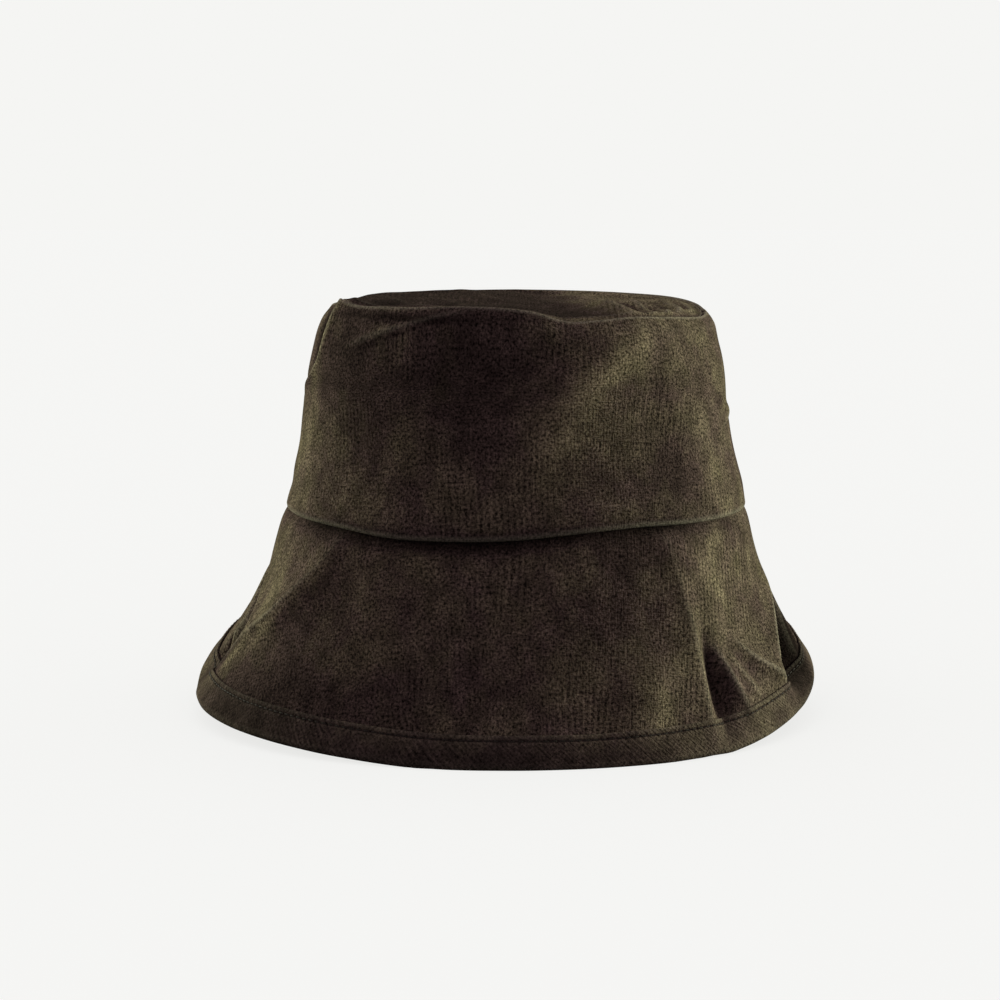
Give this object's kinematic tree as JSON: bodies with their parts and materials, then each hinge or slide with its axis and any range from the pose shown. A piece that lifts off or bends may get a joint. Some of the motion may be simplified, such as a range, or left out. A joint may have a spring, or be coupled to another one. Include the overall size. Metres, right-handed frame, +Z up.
{
  "type": "bucket hat",
  "caption": "Soft cotton bucket hat: flat-topped crown, downward sloping brim with bound edge, sweatband and lining; worn on the head.",
  "frame": {"origin": "on the plane that the brim's edge rests on, under the middle of the hat", "axes": "+Z up through the crown, +X to the side across the width, -Y towards the front"},
  "size_m": [0.2578, 0.248, 0.1705],
  "materials": {
    "outer_cotton": "washed brushed cotton, fine rib",
    "bias_binding": "washed cotton tape cut on the bias",
    "outer_thread": "matt sewing thread",
    "interlining": "non-woven stiffener",
    "lining_cloth": "light plain-weave lining",
    "sweatband_tape": "woven cotton tape",
    "inner_thread": "matt sewing thread",
    "label_tape": "blank woven tape"
  },
  "bodies": {
    "root": {"crown_top_panel": "outer_cotton", "crown_front_panel": "outer_cotton", "crown_back_panel": "outer_cotton", "crown_side_seam_threads": "outer_thread", "crown_top_seam_thread": "outer_thread", "brim_top_front_panel": "outer_cotton", "brim_top_back_panel": "outer_cotton", "brim_top_side_seam_threads": "outer_thread", "brim_interlining_front_panel": "interlining", "brim_interlining_back_panel": "interlining", "brim_under_front_panel": "outer_cotton", "brim_under_back_panel": "outer_cotton", "brim_under_side_seam_threads": "outer_thread", "brim_edge_binding": "bias_binding", "brim_edge_binding_thread": "outer_thread", "head_seam_thread": "inner_thread", "lining_top_panel": "lining_cloth", "lining_front_panel": "lining_cloth", "lining_back_panel": "lining_cloth", "lining_top_seam_thread": "inner_thread", "sweatband": "sweatband_tape", "sweatband_thread": "inner_thread", "inside_label": "label_tape"}
  },
  "joints": []
}
